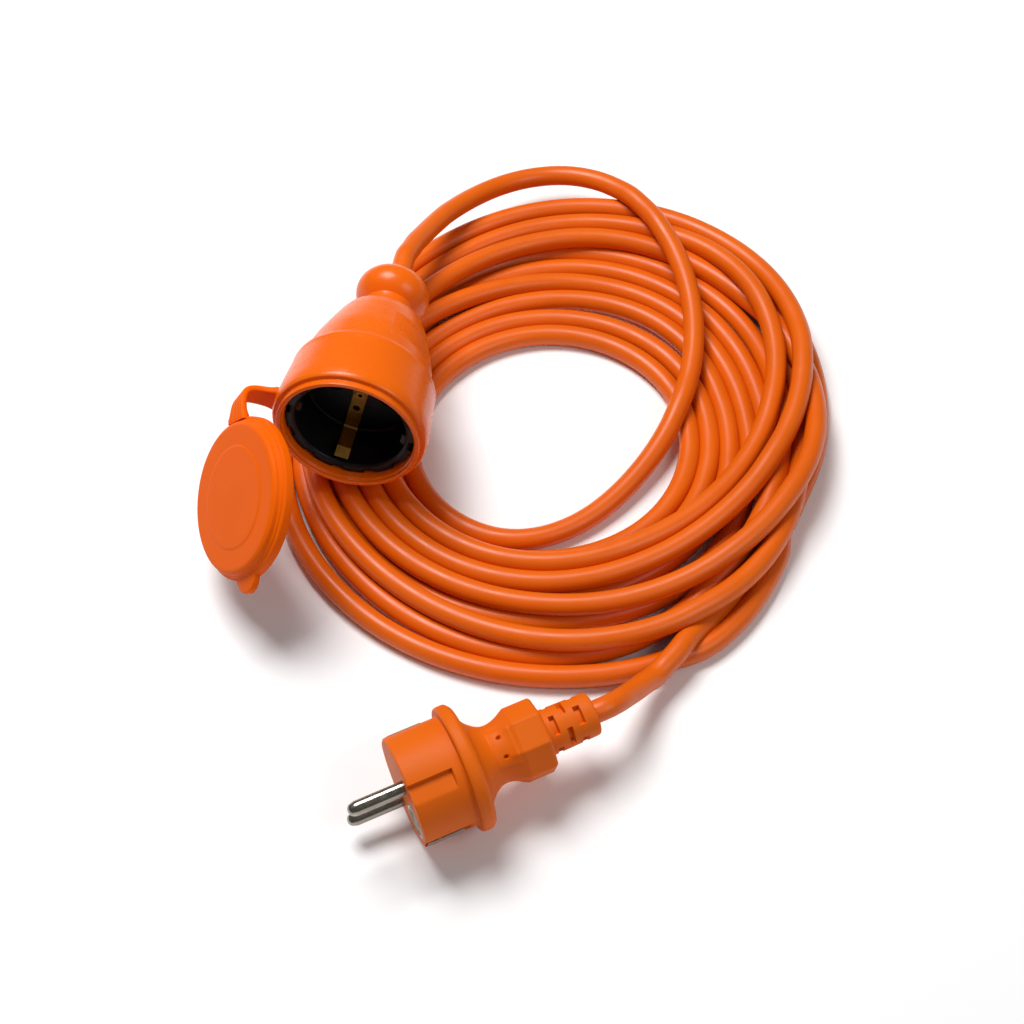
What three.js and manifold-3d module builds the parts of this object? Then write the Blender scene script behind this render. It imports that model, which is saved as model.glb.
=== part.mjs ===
// Outdoor extension cord: an earthed coupling (CEE 7/3) with a hinged flap lid, six metres
// of 3 x 1.5 mm2 rubber cord laid in a loose coil, and a moulded CEE 7/7 plug.
// Millimetres, +Z up. The floor is z = 0 and the origin is the middle of the
// footprint of the coupling, its lid and the plug.
import * as THREE from 'three';
import { mergeVertices } from 'three/addons/utils/BufferGeometryUtils.js';
import Module from 'manifold-3d';

const wasm = await Module();
wasm.setup();

// ---------------------------------------------------------------- clearances
const GAP = 0.3;               // between pieces that touch
const SLIDE = 0.5;             // between a contact and the hole it stands in
const CUT = 1;                 // how far a cutting shape runs past a face

// ---------------------------------------------------------------- cord
const CORD_D = 7.8;            // three 1.5 mm2 cores, over the sheath
const CORE_D = 3.0;            // one insulated core
const CORE_RING = 1.9;         // cores' distance from the cord's middle
const COIL_INNER_R = 50;
const COIL_OUTER_R = 105;
const COIL_LAYERS = 2;
const NESTING = 0.87;          // an upper turn lies in the hollow between two lower ones
const COIL_SLOPE = 20;          // the outer turns lie one deep over this width
const COIL_X = 51.8;           // middle of the coil's outside
const COIL_Y = 67.2;
const COIL_HOLE_SHIFT = 12;    // the hole's middle is this much nearer the plug
// Chosen places along the cord where it isn't coiled, from each end inwards: x and y,
// and the height of its middle in cord diameters.
const COUPLING_LEAD_ROUTE = [
  [5.3, 134.2, 3.97], [10.9, 147.2, 3.14], [17.3, 160.7, 2.59], [25.8, 173.7, 1.92],
  [35.3, 183.2, 1.09], [47.3, 189.2, 0.59], [59.3, 191.2, 0.53], [74.3, 188.2, 0.71],
  [84.8, 176.7, 1.6], [92.3, 163.7, 2.56], [98.8, 152.2, 3.01], [104.3, 139.7, 3.21],
  [107.8, 126.7, 3.21], [109.8, 114.2, 3.08], [109.8, 103.2, 2.88], [108.8, 91.7, 2.76],
  [106.3, 80.2, 2.67], [102.8, 70.7, 2.5], [98.3, 62.7, 1.99], [93.8, 57.7, 1.22],
  [88.8, 52.7, 0.64], [82.8, 45.2, 0.53], [76.3, 34.7, 0.53], [67.8, 24.2, 0.53],
  [58.8, 17.2, 0.53], [49.8, 13, 0.53], [43.8, 11.2, 0.53],
];
const PLUG_LEAD_ROUTE = [
  [79.8, -52.3, 2.05], [86.3, -44.3, 1.35], [92.8, -38.3, 0.83], [98.8, -33.8, 0.59],
  [104.1, -30.1, 0.53], [108.5, -26.8, 0.53],
];

// ---------------------------------------------------------------- coupling
const MOUTH_X = -16.7;          // middle of the mouth's front plane
const MOUTH_Y = 30.7;
const MOUTH_Z = 45.8;
const COUPLING_AZ = -100.5;    // heading of the mouth, degrees from +X
const COUPLING_EL = 5.5;       // and how far it looks up
const COUPLING_ROLL = -7.8;
const INSERT_TURN = -6;        // the insides are turned a little in the body

const LIP_R = 25.2;            // outside of the lip that the lid fits over
const LIP_LENGTH = 2.4;
const BELL_R = 27.4;
const BELL_LENGTH = 26;        // front plane to the grip's edge
const EDGE_STEP = 0.6;         // the bell stands proud of the grip there
const BELL_REAR_R = 25.0;
const GRIP_FRONT_R = 22.5;     // the grip's radius at a third and two thirds of its length
const GRIP_BACK_R = 19.2;
const GRIP_END_R = 16.2;
const GRIP_REAR = 56;          // front plane to the grip's round end
const GRIP_REAR_R = 11.5;
const NECK_R = 9.0;
const KNOB_R = 13.5;
const KNOB_HALF = 7.4;         // half the knob's length
const KNOB_MIDDLE = 71;        // front plane to the knob's middle

const WELL_R = 19.5;           // the well that takes a plug
const WELL_DEPTH = 17.5;
const INSERT_R = 22.7;
const INSERT_RECESS = 4.0;     // the insert sits this far behind the lip
const INSERT_FLOOR = 2.6;
const PIN_PITCH = 19.0;
const PIN_D = 4.8;
const PIN_LENGTH = 19.0;
const PIN_HOLE_D = 5.6;
const GUIDE_WIDTH = 5.0;       // the well's two ribs, and the plug's grooves
const GUIDE_HEIGHT = 1.6;
const COVER_R = 17.6;
const COVER_LENGTH = 13;
const CONTACT_D = 7.2;
const CONTACT_LENGTH = 9.5;
const STRIP_WIDTH = 5.0;       // brass earth strip
const STRIP_T = 0.8;
const CLIP_REACH = 2.6;        // how far each earth clip bends into the well

// ---------------------------------------------------------------- lid
const LID_TOP_R = 26.0;
const LID_RIM_R = 28.0;
const LID_HEIGHT = 6.6;        // skirt's edge to the top face
const LID_WALL = 2.0;
const LID_FIT = 0.5;           // between the skirt and the lip
const SPIGOT_LENGTH = 1.6;      // inner ring of the lid, inside the mouth
const SPIGOT_TAPER = 1.3;      // room for the ring and skirt to swing in
const LID_BADGE_R = 17.5;      // raised round field on the lid's face
const LID_BADGE_T = 0.4;
const TAB_REACH = 4.7;         // the finger tab stands past the rim
const TAB_WIDTH = 11.5;
const TAB_T = 2.2;

const STRAP_WIDTH = 10.0;
const STRAP_T = 2.4;
const STRAP_SETBACK = 9;       // the strap leaves the bell this far behind the mouth
const STRAP_REACH = 14;        // how far the arch stands out from each end
const STRAP_CUT = 0.02;        // half the cut between the halves, as a share of the arch

// The hinge stands in for the bend of the rubber strap, in the coupling's own
// axes: x towards the strap, y across, z out of the mouth.
const HINGE_OUT = 34.6;
const HINGE_ACROSS = 1.4;
const HINGE_BEHIND = 5.5;
const HINGE_LEAN = 30;         // the hinge line leans this far from y, away from the mouth,
const HINGE_TURN = 7;          // and is turned this far round the mouth
const OPEN_ANGLE = 73;         // from shut on the mouth to hanging open

// ---------------------------------------------------------------- plug
const PLUG_X = 5.4;            // middle of the plug's face
const PLUG_Y = -91.8;
const PLUG_Z = 20.4;
const PLUG_HEADING = -155.7;   // where the pins point, degrees from +X
const PLUG_NOSE_DOWN = 2.5;
const PLUG_ROLL = 73.0;        // turn about the pins' direction

const PLUG_R = 18.4;
const PLUG_NOSE = 18.5;        // face to collar
const COLLAR_R = 21.2;
const COLLAR_T = 5.2;
const PLUG_NECK_R = 9.9;
const PLUG_NECK_AT = 31;
const HANDLE_R = 11.9;
const HANDLE_FROM = 38;
const HANDLE_TO = 48.5;
const BOOT_R = 7.6;
const BOOT_END_R = 7.2;
const BOOT_TO = 66.5;
const BOOT_SLOT = 2.0;         // width of a flex slot
const BOOT_SLOT_DEPTH = 2.2;
const EARTH_RING_R = 6.2;      // metal round the earth hole
const EARTH_HOLE_D = 5.0;
const EARTH_OFFSET = 10.0;     // face's middle to the earth hole
const EARTH_DEPTH = 15;
const BRIDGE_R = 14.0;
const BRIDGE_T = 4.0;

// ---------------------------------------------------------------- finishes
const material = (colour, roughness, metalness = 0) =>
  new THREE.MeshStandardMaterial({ color: colour, roughness, metalness });
const orangeRubber = material(0xf05a10, 0.42);
const orangeSheath = material(0xec5512, 0.45);
const blackPlastic = material(0x15171a, 0.4);
const brass = material(0xb8924a, 0.3, 1);
const nickel = material(0xb9b4aa, 0.22, 1);
const greyPlastic = material(0x55595e, 0.6);
const coreColours = { live: 0x6b3a1e, neutral: 0x2456a8, earth: 0x9fb52a };

// ---------------------------------------------------------------- solids
// A solid is a Manifold; this makes one from a closed three.js geometry. Corners at
// the same place are merged, triangles that the merge closes up are dropped, and a
// geometry that is inside out is turned.
function solid(geometry) {
  const bare = geometry.clone();
  for (const name of Object.keys(bare.attributes)) {
    if (name !== 'position') bare.deleteAttribute(name);
  }
  const merged = mergeVertices(bare, 1e-4);
  const corners = merged.attributes.position.array;
  const triangles = [];
  let volume = 0;
  for (let i = 0; i < merged.index.count; i += 3) {
    const [a, b, c] = [0, 1, 2].map((k) => merged.index.getX(i + k));
    if (a === b || b === c || c === a) continue;
    triangles.push([a, b, c]);
    const [p, q, r] = [a, b, c].map((k) => new THREE.Vector3().fromArray(corners, 3 * k));
    volume += p.dot(q.cross(r));
  }
  const ordered = volume < 0 ? triangles.map(([a, b, c]) => [b, a, c]) : triangles;
  return new wasm.Manifold(new wasm.Mesh({
    numProp: 3,
    vertProperties: new Float32Array(corners),
    triVerts: new Uint32Array(ordered.flat()),
  }));
}

function geometryOf(manifold) {
  const mesh = manifold.getMesh();
  const geometry = new THREE.BufferGeometry();
  geometry.setAttribute('position', new THREE.BufferAttribute(mesh.vertProperties, 3));
  geometry.setIndex(new THREE.BufferAttribute(mesh.triVerts, 1));
  geometry.computeVertexNormals();
  return geometry;
}

// A profile of [radius, z] pairs turned round the z axis.
function turned(profile, segments = 48) {
  const points = profile.map(([r, z]) => new THREE.Vector2(r, z));
  const geometry = new THREE.LatheGeometry(points, segments);
  geometry.rotateX(Math.PI / 2);
  return solid(geometry);
}

function cylinder(radius, from, to, segments = 24) {
  return turned([[0, from], [radius, from], [radius, to], [0, to]], segments);
}

function block(sizeX, sizeY, sizeZ, x, y, z) {
  return solid(new THREE.BoxGeometry(sizeX, sizeY, sizeZ)).translate([x, y, z]);
}

// Points of an arc in a profile, from one angle to another, in degrees.
function arc(r, z, radiusR, radiusZ, from, to, steps) {
  return Array.from({ length: steps + 1 }, (_, i) => {
    const a = THREE.MathUtils.degToRad(from + ((to - from) * i) / steps);
    return [r + radiusR * Math.cos(a), z + radiusZ * Math.sin(a)];
  });
}

// A round or flat section swept along a smooth curve through the given points.
function swept(points, outline, steps) {
  const curve = new THREE.CatmullRomCurve3(points, false, 'centripetal');
  return new THREE.ExtrudeGeometry(outline, { steps, extrudePath: curve });
}

function roundOutline(diameter, sides) {
  const shape = new THREE.Shape();
  for (let i = 0; i < sides; i += 1) {
    const a = (2 * Math.PI * i) / sides;
    const x = (diameter / 2) * Math.cos(a);
    const y = (diameter / 2) * Math.sin(a);
    if (i === 0) shape.moveTo(x, y);
    else shape.lineTo(x, y);
  }
  return shape;
}

function node(name, shape, finish) {
  const geometry = shape.getMesh ? geometryOf(shape) : shape;
  const mesh = new THREE.Mesh(geometry, finish);
  mesh.name = name;
  return mesh;
}

// The outline of a thin strip that follows a line of [u, v] points.
function stripOutline(line, thickness) {
  const side = (sign) => line.map((point, i) => {
    const before = line[Math.max(i - 1, 0)];
    const after = line[Math.min(i + 1, line.length - 1)];
    const along = new THREE.Vector2(after[0] - before[0], after[1] - before[1]).normalize();
    const half = (sign * thickness) / 2;
    return new THREE.Vector2(point[0] - along.y * half, point[1] + along.x * half);
  });
  return new THREE.Shape([...side(1), ...side(-1).reverse()]);
}

// A flat strip bent in the y-z plane, centred on x = 0.
function bentStrip(line, thickness, width) {
  const geometry = new THREE.ExtrudeGeometry(stripOutline(line, thickness),
    { depth: width, bevelEnabled: false });
  geometry.translate(0, 0, -width / 2);
  geometry.applyMatrix4(new THREE.Matrix4().makeBasis(
    new THREE.Vector3(0, 1, 0), new THREE.Vector3(0, 0, 1), new THREE.Vector3(1, 0, 0)));
  return solid(geometry);
}

// A hollow sleeve, open at both ends.
function sleeve(outer, inner, from, to, segments = 24) {
  return turned([[inner, from], [outer, from], [outer, to], [inner, to], [inner, from]], segments);
}

// ---------------------------------------------------------------- coupling pieces
// All in the coupling's own axes: z out of the mouth, 0 at the lip's front plane.
const CAVITY_R = INSERT_R + GAP;
const WELL_FLOOR = -INSERT_RECESS - WELL_DEPTH;
const INSERT_REAR = WELL_FLOOR - INSERT_FLOOR;
const COVER_FRONT = INSERT_REAR - GAP;
const COVER_REAR = COVER_FRONT - COVER_LENGTH;
const BORE_R = CORD_D / 2 + GAP;
const SHEATH_START = COVER_REAR - 15;      // the sheath is stripped back to here
const COUPLING_REAR = -KNOB_MIDDLE - KNOB_HALF;
const CRIMP_R = CORE_D / 2 + 0.8;
const CRIMP_LENGTH = 6;

function couplingBody() {
  const grip = new THREE.SplineCurve([
    new THREE.Vector2(BELL_REAR_R - EDGE_STEP, -BELL_LENGTH),
    new THREE.Vector2(GRIP_FRONT_R, -BELL_LENGTH - 0.33 * (GRIP_REAR - BELL_LENGTH)),
    new THREE.Vector2(GRIP_BACK_R, -BELL_LENGTH - 0.63 * (GRIP_REAR - BELL_LENGTH)),
    new THREE.Vector2(GRIP_END_R, -GRIP_REAR + 3.5),
    new THREE.Vector2(GRIP_REAR_R, -GRIP_REAR),
  ]).getPoints(10).map((p) => [p.x, p.y]);
  const knobStart = THREE.MathUtils.radToDeg(Math.acos(NECK_R / KNOB_R));
  const knobEnd = THREE.MathUtils.radToDeg(Math.acos(BORE_R / KNOB_R));
  return turned([
    [CAVITY_R, 0],
    [LIP_R, 0],
    [LIP_R, -LIP_LENGTH],
    [BELL_R - 0.8, -LIP_LENGTH],
    [BELL_R, -LIP_LENGTH - 1],
    [BELL_R, -0.4 * BELL_LENGTH],
    [0.6 * BELL_R + 0.4 * BELL_REAR_R, -0.75 * BELL_LENGTH],
    [BELL_REAR_R, -BELL_LENGTH],
    ...grip,
    [NECK_R, -GRIP_REAR - 2],
    ...arc(0, -KNOB_MIDDLE, KNOB_R, KNOB_HALF, knobStart, -knobEnd, 12),
    [BORE_R, SHEATH_START],
    [CRIMP_R + PIN_PITCH / 2 + GAP, COVER_REAR - CRIMP_LENGTH],
    [COVER_R + GAP, COVER_REAR - 2],
    [COVER_R + GAP, COVER_FRONT],
    [CAVITY_R, COVER_FRONT],
    [CAVITY_R, 0],
  ]);
}

function couplingInsert() {
  const body = turned([
    [0, WELL_FLOOR],
    [WELL_R, WELL_FLOOR],
    [WELL_R, -INSERT_RECESS - 0.8],
    [WELL_R + 0.8, -INSERT_RECESS],
    [INSERT_R, -INSERT_RECESS],
    [INSERT_R, INSERT_REAR],
    [0, INSERT_REAR],
  ]);
  const ribLength = WELL_DEPTH - 2;
  const guides = [-1, 1].map((side) => block(GUIDE_HEIGHT + CUT, GUIDE_WIDTH, ribLength,
    side * (WELL_R - GUIDE_HEIGHT / 2 + CUT / 2), 0, WELL_FLOOR + ribLength / 2 - 0.1));
  const pinHoles = [-1, 1].map((side) => cylinder(PIN_HOLE_D / 2, INSERT_REAR - CUT,
    WELL_FLOOR + CUT).translate([(side * PIN_PITCH) / 2, 0, 0]));
  const rivetHole = cylinder(RIVET_R + GAP, INSERT_REAR - CUT, WELL_FLOOR + CUT);
  const notchCount = 12;
  const notches = Array.from({ length: notchCount }, (_, i) => block(2, 2.4, 2.4,
    INSERT_R, 0, -INSERT_RECESS).rotate([0, 0, (360 * (i + 0.5)) / notchCount]));
  return wasm.Manifold.union([body, ...guides])
    .subtract(wasm.Manifold.union([...pinHoles, rivetHole, ...notches]));
}

function contactCover() {
  const channel = (x) => cylinder(CONTACT_D / 2 + GAP, COVER_REAR - CUT, COVER_FRONT + CUT)
    .translate([x, 0, 0]);
  const middle = cylinder(CRIMP_R + GAP, COVER_REAR - CUT, COVER_FRONT + CUT);
  return cylinder(COVER_R, COVER_REAR, COVER_FRONT, 48)
    .subtract(wasm.Manifold.union([channel(-PIN_PITCH / 2), channel(PIN_PITCH / 2), middle]));
}

const CONTACT_FRONT = COVER_FRONT - GAP;
const CONTACT_REAR = CONTACT_FRONT - CONTACT_LENGTH;

// A sprung brass tulip: a cup that takes a pin, slit along both sides.
function contact() {
  const cup = turned([
    [0, CONTACT_REAR],
    [CONTACT_D / 2, CONTACT_REAR],
    [CONTACT_D / 2, CONTACT_FRONT],
    [PIN_D / 2 + 0.1, CONTACT_FRONT],
    [PIN_D / 2 + 0.1, CONTACT_REAR + 1.2],
    [0, CONTACT_REAR + 1.2],
  ], 20);
  const slit = block(CONTACT_D + CUT, 0.8, CONTACT_LENGTH - 2.5, 0, 0,
    CONTACT_FRONT - (CONTACT_LENGTH - 2.5) / 2 + 0.1);
  return cup.subtract(slit);
}

const RIVET_R = 1.5;
const RIVET_REAR = COVER_FRONT - 4;
const STRIP_FLOOR = WELL_FLOOR + GAP;      // the strip's underside

function earthStrip() {
  const middle = STRIP_FLOOR + STRIP_T / 2;
  const wall = Math.sqrt(WELL_R ** 2 - (STRIP_WIDTH / 2) ** 2) - GAP - STRIP_T / 2;
  const arm = (side) => [
    [side * (wall - 6), middle],
    [side * (wall - 0.9), middle],
    [side * wall, middle + 0.9],
    [side * (wall - 0.3), middle + 4],
    [side * (wall - CLIP_REACH), -INSERT_RECESS - 4.5],
    [side * (wall - 0.8), -INSERT_RECESS - 1.2],
  ];
  const strip = bentStrip([...arm(-1).reverse(), ...arm(1)], STRIP_T, STRIP_WIDTH);
  const hole = (radius, y) => cylinder(radius, STRIP_FLOOR - CUT, STRIP_FLOOR + STRIP_T + CUT)
    .translate([0, y, 0]);
  return strip.subtract(wasm.Manifold.union([hole(RIVET_R + GAP, 0), hole(1.3, 7.6), hole(1.3, -7.6)]));
}

// The hollow rivet that carries the earth strip through the well's floor.
function earthRivet() {
  const headFrom = STRIP_FLOOR + STRIP_T + GAP;
  return turned([
    [0.8, RIVET_REAR],
    [RIVET_R, RIVET_REAR],
    [RIVET_R, headFrom],
    [RIVET_R + 0.7, headFrom],
    [RIVET_R + 0.4, headFrom + 0.5],
    [0.8, headFrom + 0.5],
    [0.8, RIVET_REAR],
  ], 20);
}

// A crimped ferrule and the core that runs from it to the cut end of the sheath.
function ferrule(from, to) {
  return sleeve(CRIMP_R, CORE_D / 2 + 0.2, from, to, 16);
}

function core(x, start, straight, spread, end) {
  const turn = THREE.MathUtils.degToRad(spread);
  const endX = CORE_RING * Math.cos(turn);
  const endY = CORE_RING * Math.sin(turn);
  const points = [
    new THREE.Vector3(x, 0, start),
    new THREE.Vector3(x, 0, start - 0.6 * straight),
    new THREE.Vector3(x, 0, start - straight),
    new THREE.Vector3(endX, endY, end + 1.5),
    new THREE.Vector3(endX, endY, end),
  ];
  return swept(points, roundOutline(CORE_D, 8), 12);
}

// ---------------------------------------------------------------- lid and strap
// Modelled shut, in the coupling's axes.
const SKIRT_FROM = -LIP_LENGTH + GAP;
const LID_TOP = SKIRT_FROM + LID_HEIGHT;
const LID_CEILING = LID_TOP - LID_WALL;

function flapLid() {
  const stepHeight = (LID_HEIGHT - 2) / 2;
  const spigotR = CAVITY_R - LID_FIT;
  const cap = turned([
    [0, LID_CEILING],
    [spigotR - LID_WALL, LID_CEILING],
    [spigotR - LID_WALL, -SPIGOT_LENGTH],
    [spigotR - SPIGOT_TAPER, -SPIGOT_LENGTH],
    [spigotR, GAP],
    [LIP_R + LID_FIT, GAP],
    [LIP_R + LID_FIT + SPIGOT_TAPER, SKIRT_FROM],
    [LID_RIM_R, SKIRT_FROM],
    [LID_RIM_R, SKIRT_FROM + stepHeight - 0.3],
    [LID_RIM_R - 1, SKIRT_FROM + stepHeight],
    [LID_RIM_R - 1, SKIRT_FROM + 2 * stepHeight - 0.3],
    [LID_TOP_R, SKIRT_FROM + 2 * stepHeight],
    [LID_TOP_R, LID_TOP - 0.9],
    [LID_TOP_R - 1, LID_TOP],
    [LID_BADGE_R + 0.3, LID_TOP],
    [LID_BADGE_R, LID_TOP + LID_BADGE_T],
    [0, LID_TOP + LID_BADGE_T],
  ], 64);
  const tongue = new THREE.Shape();
  const reach = LID_RIM_R + TAB_REACH - TAB_WIDTH / 2;
  tongue.moveTo(-LID_TOP_R, -TAB_WIDTH / 2);
  tongue.lineTo(-reach, -TAB_WIDTH / 2);
  tongue.absarc(-reach, 0, TAB_WIDTH / 2, -Math.PI / 2, Math.PI / 2, true);
  tongue.lineTo(-LID_TOP_R, TAB_WIDTH / 2);
  const tab = solid(new THREE.ExtrudeGeometry(tongue,
    { depth: TAB_T, bevelEnabled: false, curveSegments: 10 }))
    .translate([0, 0, SKIRT_FROM + LID_HEIGHT / 2 - TAB_T / 2]);
  return cap.add(tab);
}

const hingePoint = new THREE.Vector3(HINGE_OUT, HINGE_ACROSS, -HINGE_BEHIND);
const hingeLine = new THREE.Vector3(0, 1, 0)
  .applyAxisAngle(new THREE.Vector3(1, 0, 0), THREE.MathUtils.degToRad(-HINGE_LEAN))
  .applyAxisAngle(new THREE.Vector3(0, 0, 1), THREE.MathUtils.degToRad(-HINGE_TURN));

// A place on the lid when it hangs open, from its place when the lid is shut.
function opened(point) {
  return point.clone().sub(hingePoint)
    .applyAxisAngle(hingeLine, THREE.MathUtils.degToRad(OPEN_ANGLE)).add(hingePoint);
}

// The rubber strap makes one arch from the bell to the open lid. Half of it is
// moulded to each, so it is cut at the middle of the arch.
const strapRoot = new THREE.Vector3(BELL_R + GAP, 0, -STRAP_SETBACK);
const strapOut = new THREE.Vector3(1, 0, 0);
const strapAcross = new THREE.Vector3(0, 1, 0);
const lidEdge = new THREE.Vector3(LID_RIM_R + GAP, 0, SKIRT_FROM + LID_HEIGHT / 2);
const openEdge = opened(lidEdge);
const openOut = opened(lidEdge.clone().add(strapOut)).sub(openEdge);
const openAcross = opened(lidEdge.clone().add(strapAcross)).sub(openEdge);
const strapArch = new THREE.CubicBezierCurve3(
  strapRoot,
  strapRoot.clone().addScaledVector(strapOut, STRAP_REACH),
  openEdge.clone().addScaledVector(openOut, STRAP_REACH),
  openEdge,
);

// A flat band along part of the arch: at each station four corners, across the
// band and through its thickness, joined to the next station's four.
function strapHalf(from, to) {
  const stations = 9;
  const corners = [];
  for (let i = 0; i < stations; i += 1) {
    const t = from + ((to - from) * i) / (stations - 1);
    const middle = strapArch.getPoint(t);
    const along = strapArch.getTangent(t);
    const across = strapAcross.clone().lerp(openAcross, t);
    across.addScaledVector(along, -across.dot(along)).normalize();
    const through = along.clone().cross(across);
    for (const [u, v] of [[-1, -1], [1, -1], [1, 1], [-1, 1]]) {
      corners.push(middle.clone()
        .addScaledVector(across, (u * STRAP_WIDTH) / 2)
        .addScaledVector(through, (v * STRAP_T) / 2));
    }
  }
  const index = [];
  const quad = (a, b, c, d) => index.push(a, b, c, a, c, d);
  for (let i = 0; i < stations - 1; i += 1) {
    for (let k = 0; k < 4; k += 1) {
      const next = (k + 1) % 4;
      quad(4 * i + k, 4 * i + next, 4 * i + 4 + next, 4 * i + 4 + k);
    }
  }
  const last = 4 * (stations - 1);
  quad(0, 3, 2, 1);
  quad(last, last + 1, last + 2, last + 3);
  const geometry = new THREE.BufferGeometry().setFromPoints(corners);
  geometry.setIndex(index);
  return solid(geometry);
}

// ---------------------------------------------------------------- plug pieces
// In the plug's own axes: z along the pins, 0 at the face; x from the near pin to
// the far one; y from the middle to the earth hole.
const EARTH_HOLE_R = EARTH_HOLE_D / 2;
const CLIP_WIDTH = 6.5;
const CLIP_T = 1.0;
const CLIP_RECESS = 1.4;       // the side clips lie this deep in the nose
const CLIP_LENGTH = 14;
const CLIP_BEND = 1.2;         // size of the clips' corners
const BRIDGE_FRONT = -CLIP_LENGTH - 1.2;
const BRIDGE_REAR = BRIDGE_FRONT - BRIDGE_T;
const PIN_TAIL = BRIDGE_REAR - 2;
const PLUG_SHEATH_START = -HANDLE_FROM - 2;
const PLUG_REAR = -BOOT_TO;
const RING_T = 1.2;

function plugBody() {
  const neck = arc(PLUG_NECK_R + 8.5, -PLUG_NECK_AT, 8.5, 7.5, 102, 205, 8);
  const outside = turned([
    [0, 0],
    [PLUG_R - 1, 0],
    [PLUG_R, -1],
    [PLUG_R, -PLUG_NOSE],
    [COLLAR_R - 0.8, -PLUG_NOSE],
    [COLLAR_R, -PLUG_NOSE - 0.8],
    [COLLAR_R, -PLUG_NOSE - COLLAR_T + 1.2],
    [COLLAR_R - 1.2, -PLUG_NOSE - COLLAR_T],
    ...neck,
    [HANDLE_R * 0.9, -HANDLE_FROM],
    [HANDLE_R * 0.9, -HANDLE_FROM - 1],
    [BOOT_R, -HANDLE_FROM - 1.1],
    [BOOT_R, -HANDLE_TO],
    [BOOT_END_R, PLUG_REAR + 1],
    [BOOT_END_R - 1, PLUG_REAR],
    [0, PLUG_REAR],
  ]);
  const handle = turned([
    [0, -HANDLE_FROM + 2],
    [HANDLE_R * 0.86, -HANDLE_FROM + 2],
    [HANDLE_R * 1.08, -HANDLE_FROM - 2],
    [HANDLE_R * 1.08, -HANDLE_TO + 1],
    [HANDLE_R, -HANDLE_TO],
    [0, -HANDLE_TO],
  ], 8);
  const nose = outside.add(handle);
  const grooves = [-1, 1].map((side) => block(GUIDE_HEIGHT * 2 + CUT, GUIDE_WIDTH + 2 * SLIDE,
    PLUG_NOSE - 3 + CUT, side * (PLUG_R + CUT / 2), 0, -(PLUG_NOSE - 3 - CUT) / 2));
  const clipBeds = [-1, 1].map((side) => block(CLIP_WIDTH + 2 * GAP, CLIP_RECESS * 2 + CUT,
    CLIP_LENGTH + 1.6 + CUT, 0, side * (PLUG_R + CUT / 2), -(CLIP_LENGTH + 1.6 - CUT) / 2));
  const pinBores = [-1, 1].map((side) => cylinder(PIN_D / 2 + GAP, PIN_TAIL - 1, CUT)
    .translate([(side * PIN_PITCH) / 2, 0, 0]));
  const ringSeat = cylinder(EARTH_RING_R + GAP, -RING_T - GAP, CUT, 32)
    .translate([0, EARTH_OFFSET, 0]);
  const earthBore = cylinder(EARTH_HOLE_R + 0.8 + GAP, BRIDGE_FRONT, CUT)
    .translate([0, EARTH_OFFSET, 0]);
  const bridgeBed = cylinder(BRIDGE_R + GAP, BRIDGE_REAR - GAP, BRIDGE_FRONT + GAP + CLIP_T + 0.6, 40)
    .add(block(CLIP_WIDTH + 2 * GAP, 2 * PLUG_R - 2 * CLIP_RECESS, CLIP_T + 2 * GAP + CLIP_BEND, 0, 0,
      BRIDGE_FRONT + GAP + (CLIP_T + CLIP_BEND) / 2));
  const wiring = turned([
    [0, PLUG_SHEATH_START],
    [BORE_R, PLUG_SHEATH_START],
    [PLUG_NECK_R - 2.4, -PLUG_NECK_AT],
    [PIN_PITCH / 2 + 2.1, PIN_TAIL - 3],
    [PIN_PITCH / 2 + 3.2, PIN_TAIL - 1],
    [PIN_PITCH / 2 + 3.2, BRIDGE_REAR],
    [0, BRIDGE_REAR],
  ], 32);
  const cordBore = cylinder(BORE_R, PLUG_REAR - CUT, PLUG_SHEATH_START + CUT);
  return nose.subtract(wasm.Manifold.union([...grooves, ...clipBeds, ...pinBores, ringSeat,
    earthBore, bridgeBed, wiring, cordBore, ...bootSlots()]));
}

// Staggered slots that let the boot flex: four to a row, each row turned by half a step.
function bootSlots() {
  const rows = 3;
  const slots = [];
  for (let row = 0; row < rows; row += 1) {
    const z = -HANDLE_TO - 3.4 - row * 4.4;
    for (let k = 0; k < 4; k += 1) {
      const turn = 90 * k + (row % 2) * 45;
      slots.push(block(BOOT_SLOT_DEPTH * 2, 6.4, BOOT_SLOT, BOOT_R, 0, z).rotate([0, 0, turn]));
    }
  }
  return slots;
}

function pinBridge() {
  const hole = (radius, x, y) => cylinder(radius, BRIDGE_REAR - CUT, BRIDGE_FRONT + CUT)
    .translate([x, y, 0]);
  return cylinder(BRIDGE_R, BRIDGE_REAR, BRIDGE_FRONT, 40).subtract(wasm.Manifold.union([
    hole(PIN_D / 2 + GAP, -PIN_PITCH / 2, 0),
    hole(PIN_D / 2 + GAP, PIN_PITCH / 2, 0),
    hole(CRIMP_R + GAP, 0, 0),
  ]));
}

function pin() {
  const r = PIN_D / 2;
  return turned([
    [0, PIN_TAIL],
    [r - 0.4, PIN_TAIL],
    [r, PIN_TAIL + 0.4],
    [r, PIN_LENGTH - r],
    ...arc(0, PIN_LENGTH - r, r, r, 15, 75, 4),
    [0, PIN_LENGTH],
  ], 20);
}

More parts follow.
